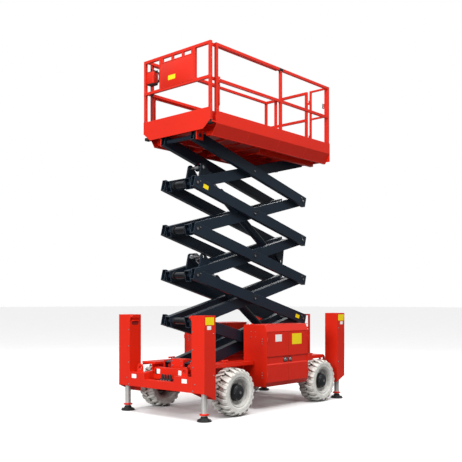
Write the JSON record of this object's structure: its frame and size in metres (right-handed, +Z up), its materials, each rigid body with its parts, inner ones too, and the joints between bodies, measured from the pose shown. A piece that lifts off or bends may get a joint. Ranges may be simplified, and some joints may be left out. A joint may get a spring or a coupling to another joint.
{
  "type": "rough-terrain scissor lift",
  "caption": "Mobile elevating platform: outrigger chassis on four wheels, folding scissor stack with two lift cylinders, and a railed platform with a roll-out deck and a gate.",
  "frame": {"origin": "on the floor, in the middle of the chassis footprint", "axes": "+X to the machine's front, the extension's end; +Y to its left side; +Z up"},
  "size_m": [3.41, 1.79, 5.224],
  "materials": {
    "frame_red": "gloss powder coat",
    "axle_red": "satin paint",
    "arm_paint": "satin paint",
    "tyre": "non-marking rubber",
    "rim": "satin paint",
    "knuckle_black": "painted casting",
    "leg_steel": "ground steel",
    "rod_chrome": "hard chrome",
    "machine_grey": "painted casting",
    "lens": "moulded lens",
    "control_black": "moulded"
  },
  "bodies": {
    "chassis": {"chassis_frame": "frame_red", "outrigger_front_left": "frame_red", "outrigger_front_right": "frame_red", "outrigger_rear_left": "frame_red", "outrigger_rear_right": "frame_red", "front_axle": "axle_red", "rear_axle": "axle_red", "side_box_left": "frame_red", "side_box_right": "frame_red", "engine": "machine_grey", "tanks": "machine_grey", "beacon": "lens", "ladder": "frame_red"},
    "inner_1": {"inner_frame_1": "arm_paint"},
    "outer_1": {"outer_frame_1": "arm_paint"},
    "inner_2": {"inner_frame_2": "arm_paint"},
    "outer_2": {"outer_frame_2": "arm_paint"},
    "inner_3": {"inner_frame_3": "arm_paint"},
    "outer_3": {"outer_frame_3": "arm_paint"},
    "inner_4": {"inner_frame_4": "arm_paint"},
    "outer_4": {"outer_frame_4": "arm_paint"},
    "inner_5": {"inner_frame_5": "arm_paint"},
    "outer_5": {"outer_frame_5": "arm_paint"},
    "platform": {"platform_deck": "frame_red", "guardrail_left": "frame_red", "guardrail_right": "frame_red"},
    "extension": {"extension_deck": "frame_red", "extension_guardrail": "frame_red", "control_box": "control_black"},
    "gate": {"gate": "frame_red"},
    "lower_barrel": {"lower_cylinder_barrel": "arm_paint"},
    "lower_rod": {"lower_cylinder_rod": "rod_chrome"},
    "upper_barrel": {"upper_cylinder_barrel": "arm_paint"},
    "upper_rod": {"upper_cylinder_rod": "rod_chrome"},
    "knuckle_left": {"knuckle_left": "knuckle_black"},
    "wheel_front_left": {"tyre_front_left": "tyre", "rim_front_left": "rim"},
    "leg_front_left": {"leg_front_left": "leg_steel"},
    "door_left_front": {"door_left_front": "frame_red"},
    "wheel_rear_left": {"tyre_rear_left": "tyre", "rim_rear_left": "rim"},
    "leg_rear_left": {"leg_rear_left": "leg_steel"},
    "door_left_rear": {"door_left_rear": "frame_red"},
    "knuckle_right": {"knuckle_right": "knuckle_black"},
    "wheel_front_right": {"tyre_front_right": "tyre", "rim_front_right": "rim"},
    "leg_front_right": {"leg_front_right": "leg_steel"},
    "door_right_front": {"door_right_front": "frame_red"},
    "wheel_rear_right": {"tyre_rear_right": "tyre", "rim_rear_right": "rim"},
    "leg_rear_right": {"leg_rear_right": "leg_steel"},
    "door_right_rear": {"door_right_rear": "frame_red"}
  },
  "joints": [
    {"name": "scissor_raise", "type": "hinge", "parent": "chassis", "child": "inner_1", "pos_m": [1.27197, 0, 0.675], "axis": [0, 1, 0], "range_deg": [-10.83, 43.47]},
    {"name": "scissor_centre_1", "type": "hinge", "parent": "inner_1", "child": "outer_1", "pos_m": [0, 0, 1.00466], "axis": [0, 1, 0], "range_deg": [-86.96, 21.68]},
    {"name": "scissor_front_1", "type": "hinge", "parent": "outer_1", "child": "inner_2", "pos_m": [1.27197, 0, 1.33433], "axis": [0, 1, 0], "range_deg": [-21.68, 86.96]},
    {"name": "scissor_centre_2", "type": "hinge", "parent": "inner_2", "child": "outer_2", "pos_m": [0, 0, 1.664], "axis": [0, 1, 0], "range_deg": [-86.96, 21.68]},
    {"name": "scissor_front_2", "type": "hinge", "parent": "outer_2", "child": "inner_3", "pos_m": [1.27197, 0, 1.99366], "axis": [0, 1, 0], "range_deg": [-21.68, 86.96]},
    {"name": "scissor_centre_3", "type": "hinge", "parent": "inner_3", "child": "outer_3", "pos_m": [0, 0, 2.32333], "axis": [0, 1, 0], "range_deg": [-86.96, 21.68]},
    {"name": "scissor_front_3", "type": "hinge", "parent": "outer_3", "child": "inner_4", "pos_m": [1.27197, 0, 2.65299], "axis": [0, 1, 0], "range_deg": [-21.68, 86.96]},
    {"name": "scissor_centre_4", "type": "hinge", "parent": "inner_4", "child": "outer_4", "pos_m": [0, 0, 2.98266], "axis": [0, 1, 0], "range_deg": [-86.96, 21.68]},
    {"name": "scissor_front_4", "type": "hinge", "parent": "outer_4", "child": "inner_5", "pos_m": [1.27197, 0, 3.31232], "axis": [0, 1, 0], "range_deg": [-21.68, 86.96]},
    {"name": "scissor_centre_5", "type": "hinge", "parent": "inner_5", "child": "outer_5", "pos_m": [0, 0, 3.64199], "axis": [0, 1, 0], "range_deg": [-86.96, 21.68]},
    {"name": "platform_level", "type": "hinge", "parent": "outer_5", "child": "platform", "pos_m": [1.27197, 0, 3.97165], "axis": [0, 1, 0], "range_deg": [-10.85, 43.49]},
    {"name": "lower_cylinder_pivot", "type": "hinge", "parent": "inner_1", "child": "lower_barrel", "pos_m": [-0.91977, 0, 0.97136], "axis": [0, 1, 0], "range_deg": [-78.7, 19.62]},
    {"name": "lower_cylinder_stroke", "type": "slide", "parent": "lower_barrel", "child": "lower_rod", "axis": [0.8185, 0, 0.5745], "range_m": [-0.29915, 1.19924]},
    {"name": "upper_cylinder_pivot", "type": "hinge", "parent": "inner_5", "child": "upper_rod", "pos_m": [0.94678, 0, 3.60012], "axis": [0, 1, 0], "range_deg": [-78.7, 19.62]},
    {"name": "upper_cylinder_stroke", "type": "slide", "parent": "upper_rod", "child": "upper_barrel", "axis": [-0.8185, 0, -0.5745], "range_m": [-0.29915, 1.19924]},
    {"name": "extension_slide", "type": "slide", "parent": "platform", "child": "extension", "axis": [1, 0, 0], "range_m": [0, 1.15]},
    {"name": "steer_left", "type": "hinge", "parent": "chassis", "child": "knuckle_left", "pos_m": [0.98, 0.54, 0.338], "axis": [0, 0, 1], "range_deg": [-30, 30]},
    {"name": "steer_right", "type": "hinge", "parent": "chassis", "child": "knuckle_right", "pos_m": [0.98, -0.54, 0.338], "axis": [0, 0, 1], "range_deg": [-30.02, 30.02]},
    {"name": "wheel_front_left_spin", "type": "hinge", "parent": "knuckle_left", "child": "wheel_front_left", "pos_m": [0.98, 0.745, 0.338], "axis": [0, 1, 0], "continuous": true},
    {"name": "wheel_front_right_spin", "type": "hinge", "parent": "knuckle_right", "child": "wheel_front_right", "pos_m": [0.98, -0.745, 0.338], "axis": [0, 1, 0], "continuous": true},
    {"name": "wheel_rear_left_spin", "type": "hinge", "parent": "chassis", "child": "wheel_rear_left", "pos_m": [-1.08, 0.745, 0.338], "axis": [0, 1, 0], "continuous": true},
    {"name": "wheel_rear_right_spin", "type": "hinge", "parent": "chassis", "child": "wheel_rear_right", "pos_m": [-1.08, -0.745, 0.338], "axis": [0, 1, 0], "continuous": true},
    {"name": "leg_front_left_slide", "type": "slide", "parent": "chassis", "child": "leg_front_left", "axis": [0, 0, 1], "range_m": [-0.2, 0.28]},
    {"name": "leg_front_right_slide", "type": "slide", "parent": "chassis", "child": "leg_front_right", "axis": [0, 0, 1], "range_m": [-0.2, 0.28]},
    {"name": "leg_rear_left_slide", "type": "slide", "parent": "chassis", "child": "leg_rear_left", "axis": [0, 0, 1], "range_m": [-0.2, 0.28]},
    {"name": "leg_rear_right_slide", "type": "slide", "parent": "chassis", "child": "leg_rear_right", "axis": [0, 0, 1], "range_m": [-0.2, 0.28]},
    {"name": "door_left_front_hinge", "type": "hinge", "parent": "chassis", "child": "door_left_front", "pos_m": [0.3465, 0.868, 0.757], "axis": [0, 0, -1], "range_deg": [0, 100]},
    {"name": "door_left_rear_hinge", "type": "hinge", "parent": "chassis", "child": "door_left_rear", "pos_m": [-0.6735, 0.868, 0.757], "axis": [0, 0, 1], "range_deg": [0, 100]},
    {"name": "door_right_front_hinge", "type": "hinge", "parent": "chassis", "child": "door_right_front", "pos_m": [0.3465, -0.868, 0.757], "axis": [0, 0, 1], "range_deg": [0, 100]},
    {"name": "door_right_rear_hinge", "type": "hinge", "parent": "chassis", "child": "door_right_rear", "pos_m": [-0.6735, -0.868, 0.757], "axis": [0, 0, -1], "range_deg": [0, 100]},
    {"name": "gate_swing", "type": "hinge", "parent": "platform", "child": "gate", "pos_m": [-1.5197, 0.285, 4.674], "axis": [0, 0, -1], "range_deg": [0, 90]}
  ],
  "couplings": [
    {"joint": "scissor_centre_1", "follows": "scissor_raise", "ratio": -2},
    {"joint": "scissor_front_1", "follows": "scissor_raise", "ratio": 2},
    {"joint": "scissor_centre_2", "follows": "scissor_raise", "ratio": -2},
    {"joint": "scissor_front_2", "follows": "scissor_raise", "ratio": 2},
    {"joint": "scissor_centre_3", "follows": "scissor_raise", "ratio": -2},
    {"joint": "scissor_front_3", "follows": "scissor_raise", "ratio": 2},
    {"joint": "scissor_centre_4", "follows": "scissor_raise", "ratio": -2},
    {"joint": "scissor_front_4", "follows": "scissor_raise", "ratio": 2},
    {"joint": "scissor_centre_5", "follows": "scissor_raise", "ratio": -2},
    {"joint": "platform_level", "follows": "scissor_raise", "ratio": 1},
    {"joint": "lower_cylinder_pivot", "follows": "scissor_raise", "ratio": -1.81},
    {"joint": "lower_cylinder_stroke", "follows": "scissor_raise", "m_per_rad": 1.58},
    {"joint": "upper_cylinder_pivot", "follows": "scissor_raise", "ratio": -1.81},
    {"joint": "upper_cylinder_stroke", "follows": "scissor_raise", "m_per_rad": 1.58},
    {"joint": "steer_right", "follows": "steer_left", "ratio": 1}
  ]
}
